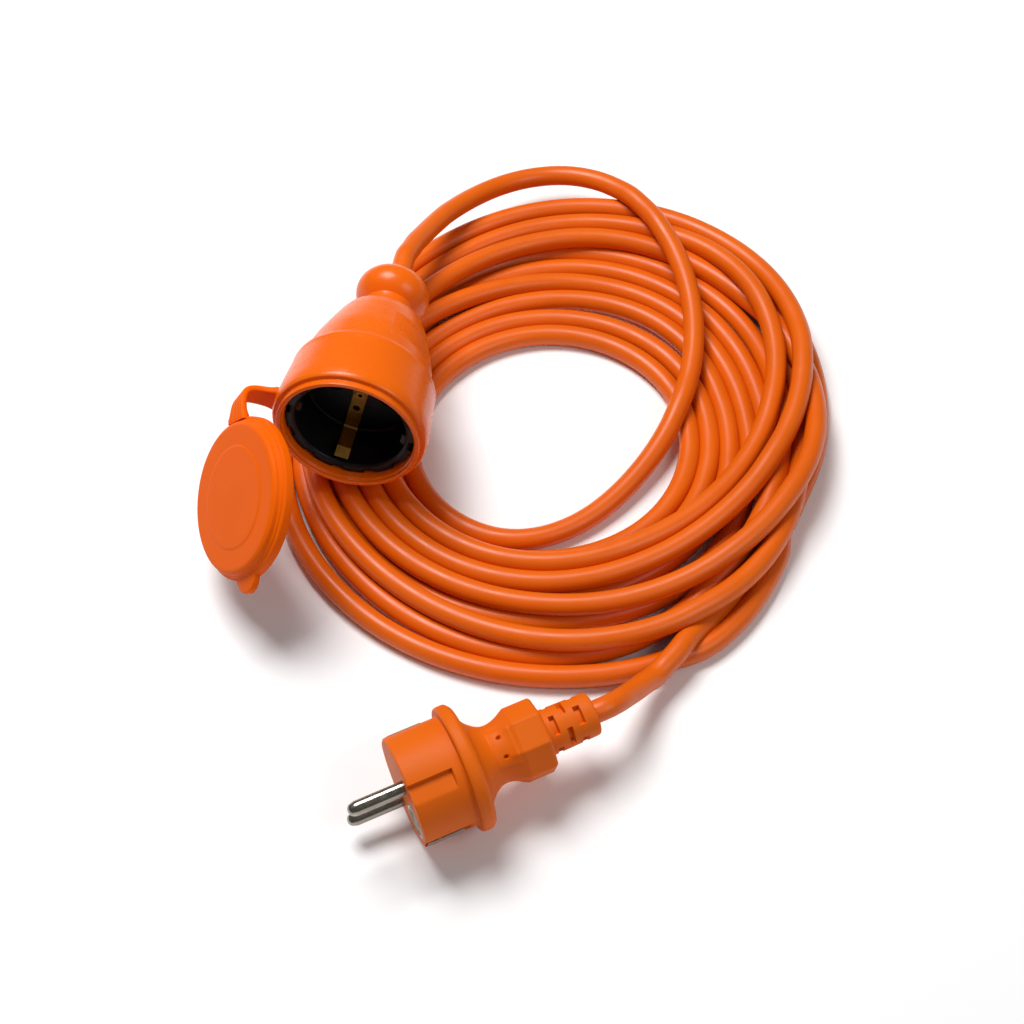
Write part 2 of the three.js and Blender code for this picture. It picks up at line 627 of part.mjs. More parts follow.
// Earth side contacts: a nickel strip along each side of the nose, joined behind
// the face by a cross bar in front of the bridge.
function earthClips() {
  const outer = PLUG_R - CLIP_RECESS + CLIP_T / 2 + GAP;
  const bar = BRIDGE_FRONT + GAP + CLIP_T / 2;
  const line = [
    [-outer + 0.2, -0.8],
    [-outer, -2.4],
    [-outer, bar + CLIP_BEND],
    [-outer + CLIP_BEND, bar],
    [outer - CLIP_BEND, bar],
    [outer, bar + CLIP_BEND],
    [outer, -2.4],
    [outer - 0.2, -0.8],
  ];
  return bentStrip(line, CLIP_T, CLIP_WIDTH);
}

// The earth receptacle: a ring in the face and a tube behind it.
function earthReceptacle() {
  return turned([
    [EARTH_HOLE_R, -EARTH_DEPTH + 2.5],
    [EARTH_HOLE_R + 0.8, -EARTH_DEPTH + 2.5],
    [EARTH_HOLE_R + 0.8, -RING_T],
    [EARTH_RING_R, -RING_T],
    [EARTH_RING_R, -0.2],
    [EARTH_RING_R - 0.7, 0.1],
    [EARTH_HOLE_R + 1, -0.5],
    [EARTH_HOLE_R, -0.9],
    [EARTH_HOLE_R, -EARTH_DEPTH + 2.5],
  ], 32).translate([0, EARTH_OFFSET, 0]);
}

// ---------------------------------------------------------------- placing
// A frame whose z looks along a heading and elevation and is rolled about it.
function placed(x, y, z, heading, elevation, roll) {
  const h = THREE.MathUtils.degToRad(heading);
  const e = THREE.MathUtils.degToRad(elevation);
  const forward = new THREE.Vector3(Math.cos(e) * Math.cos(h), Math.cos(e) * Math.sin(h), Math.sin(e));
  const side = forward.clone().cross(new THREE.Vector3(0, 0, 1)).normalize()
    .applyAxisAngle(forward, THREE.MathUtils.degToRad(roll));
  const group = new THREE.Group();
  const basis = new THREE.Matrix4().makeBasis(side, forward.clone().cross(side), forward);
  group.quaternion.setFromRotationMatrix(basis);
  group.position.set(x, y, z);
  group.updateMatrixWorld(true);
  return group;
}

const coreSpread = { live: 210, neutral: 330, earth: 90 };

function coupling() {
  const group = placed(MOUTH_X, MOUTH_Y, MOUTH_Z, COUPLING_AZ, COUPLING_EL, COUPLING_ROLL);
  const insides = new THREE.Group();
  insides.rotation.z = THREE.MathUtils.degToRad(INSERT_TURN);
  group.add(node('coupling_body', couplingBody(), orangeRubber), insides);
  insides.add(node('socket_insert', couplingInsert(), blackPlastic));
  insides.add(node('contact_cover', contactCover(), blackPlastic));
  insides.add(node('earth_strip', earthStrip(), brass));
  insides.add(node('earth_rivet', earthRivet(), brass));
  const ferrules = {
    live: [-PIN_PITCH / 2, CONTACT_REAR - GAP],
    neutral: [PIN_PITCH / 2, CONTACT_REAR - GAP],
    earth: [0, RIVET_REAR - GAP],
  };
  for (const [wire, [x, front]] of Object.entries(ferrules)) {
    if (x !== 0) {
      insides.add(node(`socket_${wire}_contact`, contact().translate([x, 0, 0]), brass));
    }
    insides.add(node(`socket_${wire}_ferrule`,
      ferrule(front - CRIMP_LENGTH, front).translate([x, 0, 0]), brass));
    insides.add(node(`socket_${wire}_core`,
      core(x, front - GAP, CRIMP_LENGTH + 1, coreSpread[wire], SHEATH_START + GAP),
      material(coreColours[wire], 0.5)));
  }
  insides.add(node('socket_sheath_end',
    cylinder(CORD_D / 2, COUPLING_REAR, SHEATH_START, 16), orangeSheath));
  group.add(node('strap_bell_half', strapHalf(0, 0.5 - STRAP_CUT), orangeRubber));

  const hinge = new THREE.Group();
  hinge.position.copy(hingePoint);
  hinge.quaternion.setFromAxisAngle(hingeLine, THREE.MathUtils.degToRad(OPEN_ANGLE));
  const lid = node('flap_lid', flapLid(), orangeRubber);
  lid.position.copy(hingePoint).negate();
  hinge.add(lid);
  group.add(hinge);
  group.add(node('strap_lid_half', strapHalf(0.5 + STRAP_CUT, 1), orangeRubber));
  return group;
}

function plug() {
  const group = placed(PLUG_X, PLUG_Y, PLUG_Z, PLUG_HEADING, -PLUG_NOSE_DOWN, PLUG_ROLL);
  group.add(node('plug_body', plugBody(), orangeRubber));
  group.add(node('pin_bridge', pinBridge(), greyPlastic));
  group.add(node('earth_side_clips', earthClips(), nickel));
  group.add(node('earth_receptacle', earthReceptacle(), nickel));
  const wires = {
    live: [-PIN_PITCH / 2, PIN_TAIL - GAP],
    neutral: [PIN_PITCH / 2, PIN_TAIL - GAP],
    earth: [0, BRIDGE_REAR + 2],
  };
  for (const [wire, [x, front]] of Object.entries(wires)) {
    if (x !== 0) group.add(node(`plug_${wire}_pin`, pin().translate([x, 0, 0]), nickel));
    group.add(node(`plug_${wire}_core`,
      core(x, front, 1.5, coreSpread[wire], PLUG_SHEATH_START + GAP), material(coreColours[wire], 0.5)));
  }
  group.add(node('plug_sheath_end',
    cylinder(CORD_D / 2, PLUG_REAR, PLUG_SHEATH_START, 16), orangeSheath));
  return group;
}

// ---------------------------------------------------------------- cord
// The coil's outer shape: a turned ring whose hole is moved sideways, because the
// turns fan out on one side and bunch up on the other.
function coilRing() {
  const height = CORD_D * (1 + NESTING * (COIL_LAYERS - 1));
  const round = CORD_D / 2;
  const profile = [
    [COIL_INNER_R, round],
    [COIL_INNER_R + round, 0],
    [COIL_OUTER_R - round, 0],
    [COIL_OUTER_R, round],
    [COIL_OUTER_R - round, CORD_D],
    [COIL_OUTER_R - COIL_SLOPE, height],
    [COIL_INNER_R + 2 * round, height],
    [COIL_INNER_R, round],
  ].map(([r, z]) => new THREE.Vector2(r, z));
  const geometry = new THREE.LatheGeometry(profile, 72);
  geometry.rotateX(Math.PI / 2);
  const place = geometry.attributes.position;
  for (let i = 0; i < place.count; i += 1) {
    const r = Math.hypot(place.getX(i), place.getY(i));
    const share = (COIL_OUTER_R - r) / (COIL_OUTER_R - COIL_INNER_R);
    place.setY(i, place.getY(i) - share * COIL_HOLE_SHIFT);
  }
  geometry.translate(COIL_X, COIL_Y, 0);
  return solid(geometry);
}

const laid = (route) => route.map(([x, y, lift]) => new THREE.Vector3(x, y, lift * CORD_D));

// From the coupling, over the far side of the coil, across it and down inside it.
function couplingLead(start) {
  const straight = [0, 8, 16].map((distance) =>
    start.localToWorld(new THREE.Vector3(0, 0, COUPLING_REAR - GAP - distance)));
  return swept([...straight, ...laid(COUPLING_LEAD_ROUTE)], roundOutline(CORD_D, 10), 44);
}

// From the plug's boot down to the floor and along it to the coil's outside.
function plugLead(start) {
  const straight = [0, 6].map((distance) =>
    start.localToWorld(new THREE.Vector3(0, 0, PLUG_REAR - GAP - distance)));
  return swept([...straight, ...laid(PLUG_LEAD_ROUTE)], roundOutline(CORD_D, 10), 10);
}

const couplingGroup = coupling();
const plugGroup = plug();
const extensionCord = new THREE.Group();
extensionCord.add(couplingGroup, plugGroup);
extensionCord.add(node('cord_coil', coilRing(), orangeSheath));
extensionCord.add(node('coupling_lead', couplingLead(couplingGroup), orangeSheath));
extensionCord.add(node('plug_lead', plugLead(plugGroup), orangeSheath));

export default extensionCord;
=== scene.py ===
"""Outdoor extension cord: an earthed coupling with a hinged flap lid, a loosely
coiled rubber cord and a moulded earthed plug. Lengths here are in millimetres and
become metres when a mesh is made."""

import math

import bpy
import numpy as np
from mathutils import Matrix, Vector


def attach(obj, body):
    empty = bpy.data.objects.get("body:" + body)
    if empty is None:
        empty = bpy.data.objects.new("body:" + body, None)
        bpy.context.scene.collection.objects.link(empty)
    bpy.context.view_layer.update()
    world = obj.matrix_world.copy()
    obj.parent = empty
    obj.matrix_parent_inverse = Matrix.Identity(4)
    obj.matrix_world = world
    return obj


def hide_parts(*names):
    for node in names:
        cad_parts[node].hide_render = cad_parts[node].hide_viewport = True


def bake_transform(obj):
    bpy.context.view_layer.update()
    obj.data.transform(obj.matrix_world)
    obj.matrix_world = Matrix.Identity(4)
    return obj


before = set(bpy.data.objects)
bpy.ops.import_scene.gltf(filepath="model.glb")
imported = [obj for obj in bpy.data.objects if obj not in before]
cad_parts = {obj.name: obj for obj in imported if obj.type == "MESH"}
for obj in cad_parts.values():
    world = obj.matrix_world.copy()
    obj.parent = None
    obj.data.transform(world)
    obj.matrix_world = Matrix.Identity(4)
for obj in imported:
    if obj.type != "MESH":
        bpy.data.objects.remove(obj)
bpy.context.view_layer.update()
MM = 0.001


# ------------------------------------------------------------------ placing
def placed(origin, heading, elevation, roll):
    """A 4 x 4 matrix whose z looks along a heading and elevation in degrees and is
    rolled about it, with its origin in millimetres."""
    h, e = math.radians(heading), math.radians(elevation)
    forward = Vector((math.cos(e) * math.cos(h), math.cos(e) * math.sin(h), math.sin(e)))
    side = forward.cross(Vector((0, 0, 1))).normalized()
    side = Matrix.Rotation(math.radians(roll), 3, forward) @ side
    basis = Matrix((side, forward.cross(side), forward)).transposed()
    return np.array(Matrix.Translation(origin) @ basis.to_4x4())


def moved(matrix, points):
    """Points of any grid, carried by a 4 x 4 matrix."""
    return points @ matrix[:3, :3].T + matrix[:3, 3]


COUPLING = placed((-16.7, 30.7, 45.8), -100.5, 5.5, -7.8)
INSIDES = COUPLING @ np.array(Matrix.Rotation(math.radians(-6), 4, "Z"))
PLUG = placed((5.4, -91.8, 20.4), -155.7, -2.5, 73.0)

# The lid swings about a line that leans away from the mouth and is turned round it.
OPEN_ANGLE = 73.0
HINGE_AT = Vector((34.6, 1.4, -5.5))
HINGE_TURN = -7.0
HINGE_LEAN = -30.0
HINGE_LINE = (Matrix.Rotation(math.radians(HINGE_TURN), 3, "Z")
              @ Matrix.Rotation(math.radians(HINGE_LEAN), 3, "X") @ Vector((0, 1, 0)))
SWING = (Matrix.Translation(HINGE_AT) @ Matrix.Rotation(math.radians(OPEN_ANGLE), 4, HINGE_LINE)
         @ Matrix.Translation(-HINGE_AT))
LID = COUPLING @ np.array(SWING)


# ------------------------------------------------------------------ meshes
def grid_faces(rows, columns, round_rows=False):
    """Quads that join a grid of rows x columns corners to their neighbours, as an
    array of four corner numbers each. Its columns close into a ring, and so do its
    rows if round_rows is set."""
    i = np.arange(rows if round_rows else rows - 1)[:, None]
    j = np.arange(columns)[None, :]
    i2, j2 = (i + 1) % rows, (j + 1) % columns
    quads = [i * columns + j, i * columns + j2, i2 * columns + j2, i2 * columns + j]
    return np.stack(np.broadcast_arrays(*quads), -1).reshape(-1, 4)


def volume_of(points, faces):
    """Six times the signed volume inside a closed mesh: positive if its faces look out."""
    a, b, c, d = (points[faces[:, k]] for k in range(4))
    return float((a * np.cross(b, c)).sum() + (a * np.cross(c, d)).sum())


def add_mesh(name, points, faces, material, sharp=40):
    """A mesh object at the origin from corners in millimetres and quads, with its faces
    turned outwards, smooth except where they meet at more than sharp degrees."""
    if volume_of(points, faces) < 0:
        faces = faces[:, ::-1]
    mesh = bpy.data.meshes.new(name)
    mesh.from_pydata((points * MM).tolist(), [], faces.tolist())
    mesh.polygons.foreach_set("use_smooth", np.full(len(faces), True))
    mesh.set_sharp_from_angle(angle=math.radians(sharp))
    mesh.materials.append(material)
    piece = bpy.data.objects.new(name, mesh)
    bpy.context.scene.collection.objects.link(piece)
    return piece


def closed_grid(grid):
    """Corners and faces of a grid that is round along its columns, with the first and
    the last row each closed by a fan of quads onto the row's middle."""
    rows, columns = grid.shape[:2]
    faces = grid_faces(rows, columns)
    points = np.concatenate([grid.reshape(-1, 3), grid[0].mean(0)[None], grid[-1].mean(0)[None]])
    step = np.arange(0, columns, 2)
    after, last = (step + 1) % columns, (step + 2) % columns
    first_cap = np.stack([np.full_like(step, rows * columns), last, after, step], -1)
    base = (rows - 1) * columns
    last_cap = np.stack([np.full_like(step, rows * columns + 1), base + step, base + after,
                         base + last], -1)
    return points, np.concatenate([faces, first_cap, last_cap])


def rounded(corners, steps=4):
    """A profile line whose corners are arcs: each corner is (r, z) or (r, z, radius), and
    a corner with a radius becomes a quadratic curve between the points that far from it
    on its two sides, cut to half of a shorter side."""
    corners = [tuple(c) + (0.0,) * (3 - len(c)) for c in corners]
    line = []
    for k, (r, z, radius) in enumerate(corners):
        here = np.array([r, z])
        if radius == 0 or k in (0, len(corners) - 1):
            line.append(here)
            continue
        before, after = np.array(corners[k - 1][:2]), np.array(corners[k + 1][:2])
        to_before, to_after = before - here, after - here
        reach = min(radius, 0.49 * np.linalg.norm(to_before), 0.49 * np.linalg.norm(to_after))
        start = here + to_before / np.linalg.norm(to_before) * reach
        end = here + to_after / np.linalg.norm(to_after) * reach
        t = np.linspace(0, 1, steps + 1)[:, None]
        line.extend((1 - t) ** 2 * start + 2 * t * (1 - t) * here + t ** 2 * end)
    return np.array(line)


def refined(line, spacing):
    """The same line with points added so that none of its steps is longer than spacing."""
    out = [line[:1]]
    for a, b in zip(line[:-1], line[1:]):
        count = max(1, int(math.ceil(np.linalg.norm(b - a) / spacing)))
        out.append(a + (b - a) * (np.arange(1, count + 1) / count)[:, None])
    return np.concatenate(out)


def lathe(line, columns, relief=None):
    """A surface of revolution: row i, column j is (r cos a, r sin a, z) for the line's
    point i and angle a of column j. relief(r, z, a) adds to the radius."""
    a = np.linspace(0, 2 * math.pi, columns, endpoint=False)[None, :]
    r, z = (np.repeat(line[:, k][:, None], columns, 1) for k in (0, 1))
    if relief is not None:
        r = r + relief(r, z, a + 0 * r)
    return np.stack([r * np.cos(a), r * np.sin(a), z], -1)


def smoothstep(value, low, high):
    """0 below low, 1 above high, and a smooth S between them."""
    t = np.clip((value - low) / (high - low), 0, 1)
    return t * t * (3 - 2 * t)


# ------------------------------------------------------------------ materials
def linear(hex_colour):
    """An sRGB hex value as linear RGBA."""
    channels = [int(hex_colour[k:k + 2], 16) / 255 for k in (1, 3, 5)]
    return [c / 12.92 if c <= 0.04045 else ((c + 0.055) / 1.055) ** 2.4 for c in channels] + [1]


def add_node(tree, kind, inputs=(), **settings):
    """A node of a kind with its settings, and inputs given as values or sockets."""
    node = tree.nodes.new(kind)
    for key, value in settings.items():
        setattr(node, key, value)
    for key, value in dict(inputs).items():
        if isinstance(value, bpy.types.NodeSocket):
            tree.links.new(value, node.inputs[key])
        else:
            node.inputs[key].default_value = value
    return node


def new_material(name, **shader):
    """A material with a Principled shader, its uniform values set on the shader."""
    material = bpy.data.materials.new(name)
    material.use_nodes = True
    bsdf = material.node_tree.nodes["Principled BSDF"]
    for key, value in shader.items():
        bsdf.inputs[key.replace("_", " ")].default_value = value
    return material, material.node_tree, bsdf


def mix_colours(tree, low, high, factor):
    """A colour between two hex values, by a factor socket. Sockets 0, 6 and 7 of the
    node are the factor and the two colours."""
    node = add_node(tree, "ShaderNodeMix", data_type="RGBA")
    tree.links.new(factor, node.inputs[0])
    node.inputs[6].default_value = linear(low)
    node.inputs[7].default_value = linear(high)
    return node.outputs[2]


def noise(tree, vector, size_mm, detail=2.0, roughness=0.5):
    """Noise whose features are about size_mm across, on coordinates in metres."""
    return add_node(tree, "ShaderNodeTexNoise", {
        "Vector": vector, "Scale": 1000 / size_mm, "Detail": detail, "Roughness": roughness,
    }).outputs[0]


def moulded_orange(name, low, high, roughness, grain_mm, grain_depth_mm, gloss):
    """Injection moulded PVC. The colour drifts a little, as pigment does in a thick
    moulding, and a fine grain from the tool's sparked faces breaks up the gloss."""
    material, tree, bsdf = new_material(name, IOR=1.5, Specular_IOR_Level=gloss)
    at = add_node(tree, "ShaderNodeTexCoord").outputs["Object"]
    cloud = noise(tree, at, 22, 3)
    tree.links.new(mix_colours(tree, low, high, cloud), bsdf.inputs["Base Color"])
    grain = noise(tree, at, grain_mm, 4, 0.6)
    rough = add_node(tree, "ShaderNodeMapRange", {
        "Value": grain, "From Min": 0.3, "From Max": 0.7,
        "To Min": roughness - 0.05, "To Max": roughness + 0.07})
    tree.links.new(rough.outputs[0], bsdf.inputs["Roughness"])
    bump = add_node(tree, "ShaderNodeBump", {
        "Height": grain, "Distance": grain_depth_mm * MM, "Strength": 0.6})
    tree.links.new(bump.outputs[0], bsdf.inputs["Normal"])
    return material


# Glossy PVC from a polished tool: bright, with soft broad highlights.
shell_orange = moulded_orange("polished_moulded_orange_pvc", "#DC5C03", "#E86604",
                              roughness=0.27, grain_mm=3.0, grain_depth_mm=0.002, gloss=0.3)
# The lid is the same plastic from a satin tool.
lid_orange = moulded_orange("satin_moulded_orange_pvc", "#E25A02", "#EC6202",
                            roughness=0.45, grain_mm=0.9, grain_depth_mm=0.015, gloss=0.06)
# The plug's tool is spark eroded: matte, with a grain of about half a millimetre.
plug_orange = moulded_orange("grained_moulded_orange_pvc", "#D45C04", "#E06606",
                             roughness=0.5, grain_mm=0.55, grain_depth_mm=0.05, gloss=0.16)


def extruded_sheath():
    """Extruded rubber sheath: smooth round it, with faint lengthwise die lines 0.6 mm
    apart and slow clouds of paler bloom where it has been handled. Reads the map of the
    cord: u along it in metres, v round it in metres."""
    material, tree, bsdf = new_material("extruded_orange_sheath", IOR=1.5,
                                        Specular_IOR_Level=0.35)
    uv = add_node(tree, "ShaderNodeUVMap", uv_map="cord_map").outputs[0]
    at = add_node(tree, "ShaderNodeTexCoord").outputs["Object"]
    bloom = noise(tree, at, 30, 4)
    tree.links.new(mix_colours(tree, "#CE5602", "#E46605", bloom), bsdf.inputs["Base Color"])
    stretched = add_node(tree, "ShaderNodeMapping", {"Vector": uv, "Scale": (0.02, 1, 1)})
    lines = noise(tree, stretched.outputs[0], 0.6, 2)
    rough = add_node(tree, "ShaderNodeMapRange", {
        "Value": noise(tree, at, 6, 3), "From Min": 0.3, "From Max": 0.7,
        "To Min": 0.3, "To Max": 0.42})
    tree.links.new(rough.outputs[0], bsdf.inputs["Roughness"])
    bump = add_node(tree, "ShaderNodeBump", {
        "Height": lines, "Distance": 0.03 * MM, "Strength": 0.5})
    tree.links.new(bump.outputs[0], bsdf.inputs["Normal"])
    return material


sheath_orange = extruded_sheath()


def moulded_polyamide(name, low, high):
    """Glass filled polyamide: a dark colour, a soft sheen and a fine fibre texture."""
    material, tree, bsdf = new_material(name, IOR=1.5, Specular_IOR_Level=0.25)
    at = add_node(tree, "ShaderNodeTexCoord").outputs["Object"]
    fibre = noise(tree, at, 0.8, 4, 0.65)
    tree.links.new(mix_colours(tree, low, high, fibre), bsdf.inputs["Base Color"])
    rough = add_node(tree, "ShaderNodeMapRange", {
        "Value": fibre, "From Min": 0.3, "From Max": 0.7, "To Min": 0.3, "To Max": 0.45})
    tree.links.new(rough.outputs[0], bsdf.inputs["Roughness"])
    bump = add_node(tree, "ShaderNodeBump", {
        "Height": fibre, "Distance": 0.02 * MM, "Strength": 0.5})
    tree.links.new(bump.outputs[0], bsdf.inputs["Normal"])
    return material


black_polyamide = moulded_polyamide("moulded_black_polyamide", "#06090B", "#101417")
grey_polyamide = moulded_polyamide("moulded_grey_polyamide", "#3E4246", "#50555A")


def metal(name, low, high, roughness, brush_mm):
    """Stamped or turned metal: a drift of colour, and roughness in fine patches."""
    material, tree, bsdf = new_material(name, Metallic=1.0)
    at = add_node(tree, "ShaderNodeTexCoord").outputs["Object"]
    tree.links.new(mix_colours(tree, low, high, noise(tree, at, 6, 3)), bsdf.inputs["Base Color"])
    marks = noise(tree, at, brush_mm, 4, 0.6)
    rough = add_node(tree, "ShaderNodeMapRange", {
        "Value": marks, "From Min": 0.3, "From Max": 0.7,
        "To Min": roughness - 0.06, "To Max": roughness + 0.1})
    tree.links.new(rough.outputs[0], bsdf.inputs["Roughness"])
    bump = add_node(tree, "ShaderNodeBump", {
        "Height": marks, "Distance": 0.004 * MM, "Strength": 0.3})
    tree.links.new(bump.outputs[0], bsdf.inputs["Normal"])
    return material


stamped_brass = metal("stamped_brass", "#86662A", "#B08B42", roughness=0.3, brush_mm=2.5)
nickel_plate = metal("nickel_plated_brass", "#8E877C", "#A8A196", roughness=0.2, brush_mm=2.0)


def core_insulation(name, colour, stripe=None):
    """Extruded PVC round one core, in its colour of the wiring code, with bands of a
    second colour for the earth core."""
    material, tree, bsdf = new_material(name, IOR=1.5)
    at = add_node(tree, "ShaderNodeTexCoord").outputs["Object"]
    bsdf.inputs["Base Color"].default_value = linear(colour)
    if stripe:
        wave = add_node(tree, "ShaderNodeTexWave", {"Vector": at, "Scale": 120.0},
                        wave_profile="SAW")
        sharp = add_node(tree, "ShaderNodeMapRange", {
            "Value": wave.outputs["Fac"], "From Min": 0.48, "From Max": 0.52})
        tree.links.new(mix_colours(tree, colour, stripe, sharp.outputs[0]),
                       bsdf.inputs["Base Color"])
    rough = add_node(tree, "ShaderNodeMapRange", {
        "Value": noise(tree, at, 1.5, 3), "To Min": 0.35, "To Max": 0.55})
    tree.links.new(rough.outputs[0], bsdf.inputs["Roughness"])
    return material


brown_core = core_insulation("brown_core_insulation", "#5A3018")
blue_core = core_insulation("blue_core_insulation", "#1E4F9C")
earth_core = core_insulation("green_yellow_core_insulation", "#3E8A2E", "#E6D23A")


# ------------------------------------------------------------------ camera
LOOK_AT = Vector((39.8, 31.2, 0.0))
CAMERA_DISTANCE = 700.0
CAMERA_ELEVATION = 55.0
LENS = 68.03


def add_camera():
    """The camera looks at a point on the floor from the plug's side."""
    e = math.radians(CAMERA_ELEVATION)
    data = bpy.data.cameras.new("camera")
    data.lens = LENS
    data.sensor_width = 36
    data.clip_start = 0.01
    camera = bpy.data.objects.new("camera", data)
    camera.location = (LOOK_AT + CAMERA_DISTANCE * Vector((0, -math.cos(e), math.sin(e)))) * MM
    camera.rotation_euler = (math.pi / 2 - e, 0, 0)
    bpy.context.scene.collection.objects.link(camera)
    bpy.context.scene.camera = camera


add_camera()

# ------------------------------------------------------------------ cord route
CORD_D = 7.8
CORD_R = CORD_D / 2
CORD_SIDES = 20
ROUTE_STEP = 5.0             # between two points of the line that settles
TUBE_STEP = 3.0              # between two rings of the tube
COIL_STEP = 7.5              # degrees between two points of the coil
COIL_MIDDLE = np.array([54.0, 64.0])
EIGHTHS = np.array([225, 270, 315, 360, 405, 450, 495, 540])
# Each turn runs clockwise seen from above, from the side nearest the plug. Its distance
# from the coil's middle is given at eight compass points, near-left first and nearest
# the plug last, then how many turns it lies on there.
TURNS = [
    ([57, 57, 54, 51, 52, 55, 58, 58], [0, 0, 0, 0, 0, 0, 0, 0]),
    ([64, 64, 59, 57, 60, 62, 64, 66], [0, 0, 0, 0, 0, 0, 0, 0]),
    ([71, 71, 64, 66, 72, 66, 70, 74], [0, 0, 0, 0, 0, 0, 0, 0]),
    ([78, 78, 66, 75, 78, 71, 82, 82], [0, 0, 1, 0.3, 0.3, 0.6, 0, 0]),
    ([85, 86, 77, 90, 96, 82, 92, 97], [0, 0, 0, 0, 0, 0.5, 0, 0]),
    ([92, 93, 86, 103, 106, 92, 98, 95], [0, 0, 0, 0, 0, 0, 1, 1]),
    ([88, 90, 90, 110, 112, 90, 71, 72], [1, 1, 1.5, 1, 1, 1.3, 1.3, 1]),
    ([72, 73, 72, 91, 99, 98, 87, 80], [1, 1, 1, 0.6, 0.3, 1, 1, 1]),
    ([79, 80, 82, 101, 102, 81, 63, 65], [1, 1, 2, 1.3, 1.3, 1.5, 1.5, 1]),
    ([65, 66, 72, 84, 85, 78, 97, 103], [1, 1, 0, 0, 0, 0, 0, 0]),
    ([103, 99, 93, 112, 109, 99], [0, 0, 0, 0, 0, 0]),
]
COUPLING_LEAD = [
    [5.3, 134.2, 31], [10.9, 147.2, 24.5], [17.3, 160.7, 20.2], [25.8, 173.7, 15],
    [35.3, 183.2, 8.5], [47.3, 189.2, 4.6], [59.3, 191.2, 4.1], [74.3, 188.2, 5.5],
    [84.8, 176.7, 12.5], [92.3, 163.7, 20],
    [98.8, 152.2, 23.5], [104.3, 139.7, 25], [107.8, 126.7, 25], [109.8, 114.2, 24],
    [109.8, 103.2, 22.5], [108.8, 91.7, 21.5], [106.3, 80.2, 20.8], [102.8, 70.7, 19.5],
    [98.3, 62.7, 15.5], [93.8, 57.7, 9.5], [88.8, 52.7, 5], [82.8, 45.2, 4.1], [76.3, 34.7, 4.1],
    [67.8, 24.2, 4.1], [58.8, 17.2, 4.1], [49.8, 13.0, 4.1], [43.8, 11.2, 4.1],
]
PLUG_LEAD = [
    [79.8, -52.3, 16], [86.3, -44.3, 10.5], [92.8, -38.3, 6.5], [98.8, -33.8, 4.6],
    [104.1, -30.1, 4.1], [108.5, -26.8, 4.1],
]
COUPLING_REAR = -78.4
PLUG_REAR = -66.5
LAYER = 0.87 * CORD_D        # a turn that lies in the hollow between two others

# How the cord settles: what each step does to its free points.
HOME_SHARE = 0.03            # of the way back to the route
FALL = 0.06                  # millimetres down
BENDING = ((1, 0.1), (2, 0.1), (5, 0.04))    # strides, and how much of each is smoothed
OVERLAP_SHARE = 0.4          # of an overlap, moved by each of the two stretches
NEXT_ON_CORD = 6             # points this near along the cord don't push each other
HELD_AT_COUPLING, HELD_AT_PLUG = 5, 8
FULL_STEPS, QUICK_STEPS = 240, 60


def through(points, per_span=8):
    """A centripetal Catmull-Rom curve through the points."""
    p = np.concatenate([[2 * points[0] - points[1]], points, [2 * points[-1] - points[-2]]])
    knots = np.concatenate([[0], np.cumsum(np.sqrt(np.linalg.norm(np.diff(p, axis=0), axis=1)))])
    p0, p1, p2, p3 = p[:-3], p[1:-2], p[2:-1], p[3:]
    t0, t1, t2, t3 = (knots[k:len(knots) - 3 + k][:, None, None] for k in range(4))
    t = t1 + (t2 - t1) * (np.arange(per_span) / per_span)[None, :, None]
    a, b, c, d = (q[:, None, :] for q in (p0, p1, p2, p3))
    a1 = (t1 - t) / (t1 - t0) * a + (t - t0) / (t1 - t0) * b
    a2 = (t2 - t) / (t2 - t1) * b + (t - t1) / (t2 - t1) * c
    a3 = (t3 - t) / (t3 - t2) * c + (t - t2) / (t3 - t2) * d
    b1 = (t2 - t) / (t2 - t0) * a1 + (t - t0) / (t2 - t0) * a2
    b2 = (t3 - t) / (t3 - t1) * a2 + (t - t1) / (t3 - t1) * a3
    curve = (t2 - t) / (t2 - t1) * b1 + (t - t1) / (t2 - t1) * b2
    return np.concatenate([curve.reshape(-1, points.shape[1]), points[-1:]])


def resampled(points, spacing):
    """The line again, with points evenly spaced along its length."""
    along = np.concatenate([[0], np.cumsum(np.linalg.norm(np.diff(points, axis=0), axis=1))])
    places = np.linspace(0, along[-1], max(2, int(round(along[-1] / spacing)) + 1))
    return np.stack([np.interp(places, along, points[:, k]) for k in range(3)], -1)


def smooth_values(angles, values, wanted):
    """Values between the given ones by cubic pieces whose slopes are those of the two
    neighbours."""
    slopes = np.gradient(values, angles)
    k = np.clip(np.searchsorted(angles, wanted, side="right") - 1, 0, len(angles) - 2)
    span = angles[k + 1] - angles[k]
    t = (wanted - angles[k]) / span
    return ((2 * t ** 3 - 3 * t ** 2 + 1) * values[k] + (t ** 3 - 2 * t ** 2 + t) * span * slopes[k]
            + (3 * t ** 2 - 2 * t ** 3) * values[k + 1] + (t ** 3 - t ** 2) * span * slopes[k + 1])


def coil_line():
    """The coiled stretch: distance from the middle and height as smooth functions of the
    compass angle, which is 0 on the far side and runs clockwise."""
    angles, reach, lift = [180.0], [54.0], [0.0]
    for k, (radii, layers) in enumerate(TURNS):
        angles.extend(EIGHTHS[:len(radii)] + 360.0 * k)
        reach.extend(radii)
        lift.extend(layers)
    angles, reach, lift = (np.array(v, float) for v in (angles, reach, lift))
    wanted = np.arange(angles[0] + COIL_STEP, angles[-1] - 7, COIL_STEP)
    r = smooth_values(angles, reach, wanted)
    z = CORD_R + LAYER * smooth_values(angles, lift, wanted)
    a = np.radians(wanted)
    return np.stack([COIL_MIDDLE[0] + r * np.sin(a), COIL_MIDDLE[1] + r * np.cos(a), z], -1)


